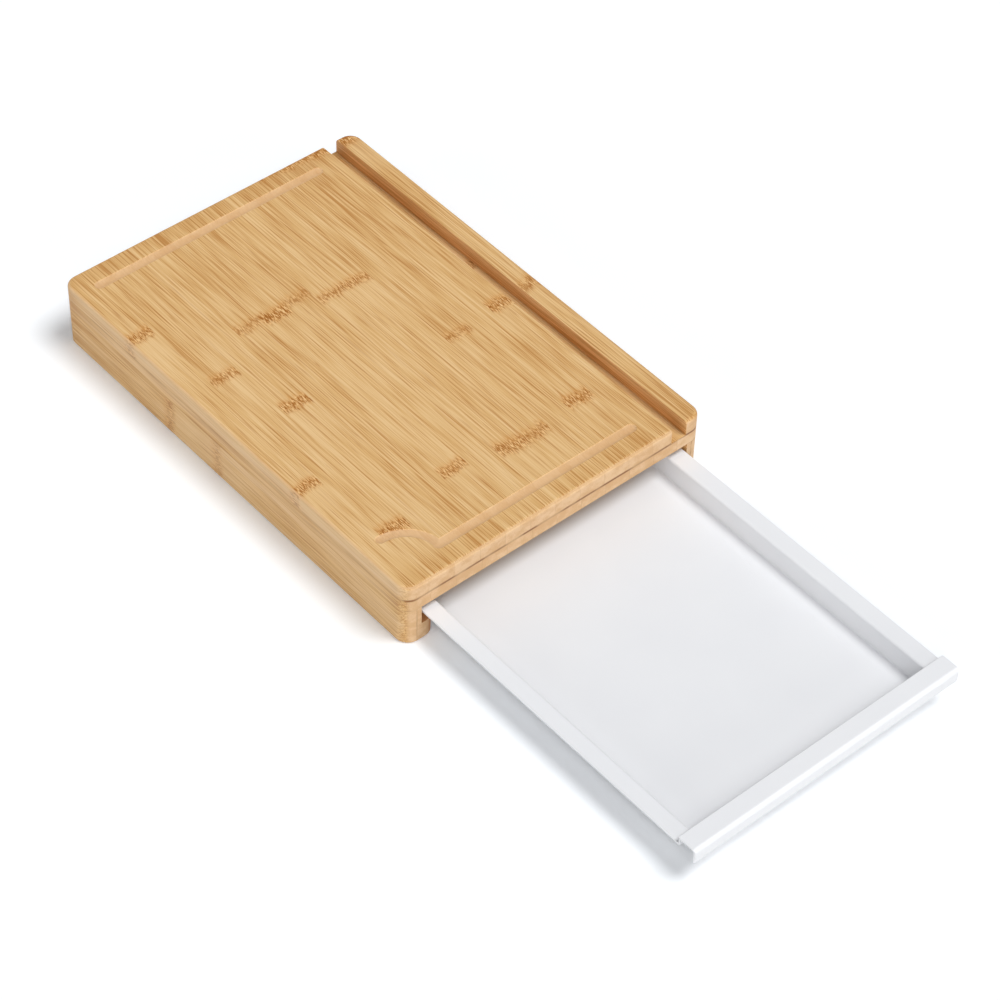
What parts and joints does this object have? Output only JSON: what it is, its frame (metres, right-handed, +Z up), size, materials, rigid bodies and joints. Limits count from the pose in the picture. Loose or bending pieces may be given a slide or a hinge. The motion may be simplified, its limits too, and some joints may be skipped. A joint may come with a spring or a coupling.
{
  "type": "cutting board with drawer tray",
  "caption": "Cutting board on side rails with a tablet slot and juice grooves; a flanged plastic tray with a hooked lip slides out in grooves of the rails.",
  "frame": {"origin": "on the table, under the middle of the whole object as it stands with the tray drawn out", "axes": "+X the way the tray draws out, +Y the side of the tablet slot, +Z up"},
  "size_m": [0.6382, 0.26, 0.053],
  "materials": {
    "bamboo_upper": "satin, oiled, straight grain along the board",
    "bamboo_fence": "satin, oiled, straight grain along the board",
    "bamboo_lower": "satin, oiled, straight grain along the board",
    "bamboo_rail_outer": "satin, oiled, straight grain along the rail",
    "bamboo_rail_inner": "satin, oiled, straight grain along the rail",
    "tray_plastic": "fine matte white"
  },
  "bodies": {
    "board": {"fence_strip": "bamboo_fence", "lower_stave_01": "bamboo_lower", "lower_stave_02": "bamboo_lower", "lower_stave_03": "bamboo_lower", "lower_stave_04": "bamboo_lower", "lower_stave_05": "bamboo_lower", "lower_stave_06": "bamboo_lower", "lower_stave_07": "bamboo_lower", "lower_stave_08": "bamboo_lower", "lower_stave_09": "bamboo_lower", "lower_stave_10": "bamboo_lower", "lower_stave_11": "bamboo_lower", "lower_stave_12": "bamboo_lower", "rail_inner_ply_left": "bamboo_rail_inner", "rail_inner_ply_right": "bamboo_rail_inner", "rail_outer_ply_left": "bamboo_rail_outer", "rail_outer_ply_right": "bamboo_rail_outer", "upper_stave_01": "bamboo_upper", "upper_stave_02": "bamboo_upper", "upper_stave_03": "bamboo_upper", "upper_stave_04": "bamboo_upper", "upper_stave_05": "bamboo_upper", "upper_stave_06": "bamboo_upper", "upper_stave_07": "bamboo_upper", "upper_stave_08": "bamboo_upper", "upper_stave_09": "bamboo_upper", "upper_stave_10": "bamboo_upper", "upper_stave_11": "bamboo_upper"},
    "tray": {"tray": "tray_plastic"}
  },
  "joints": [
    {"name": "tray_slide", "type": "slide", "parent": "board", "child": "tray", "axis": [1, 0, 0], "range_m": [-0.2581, 0.12]}
  ]
}
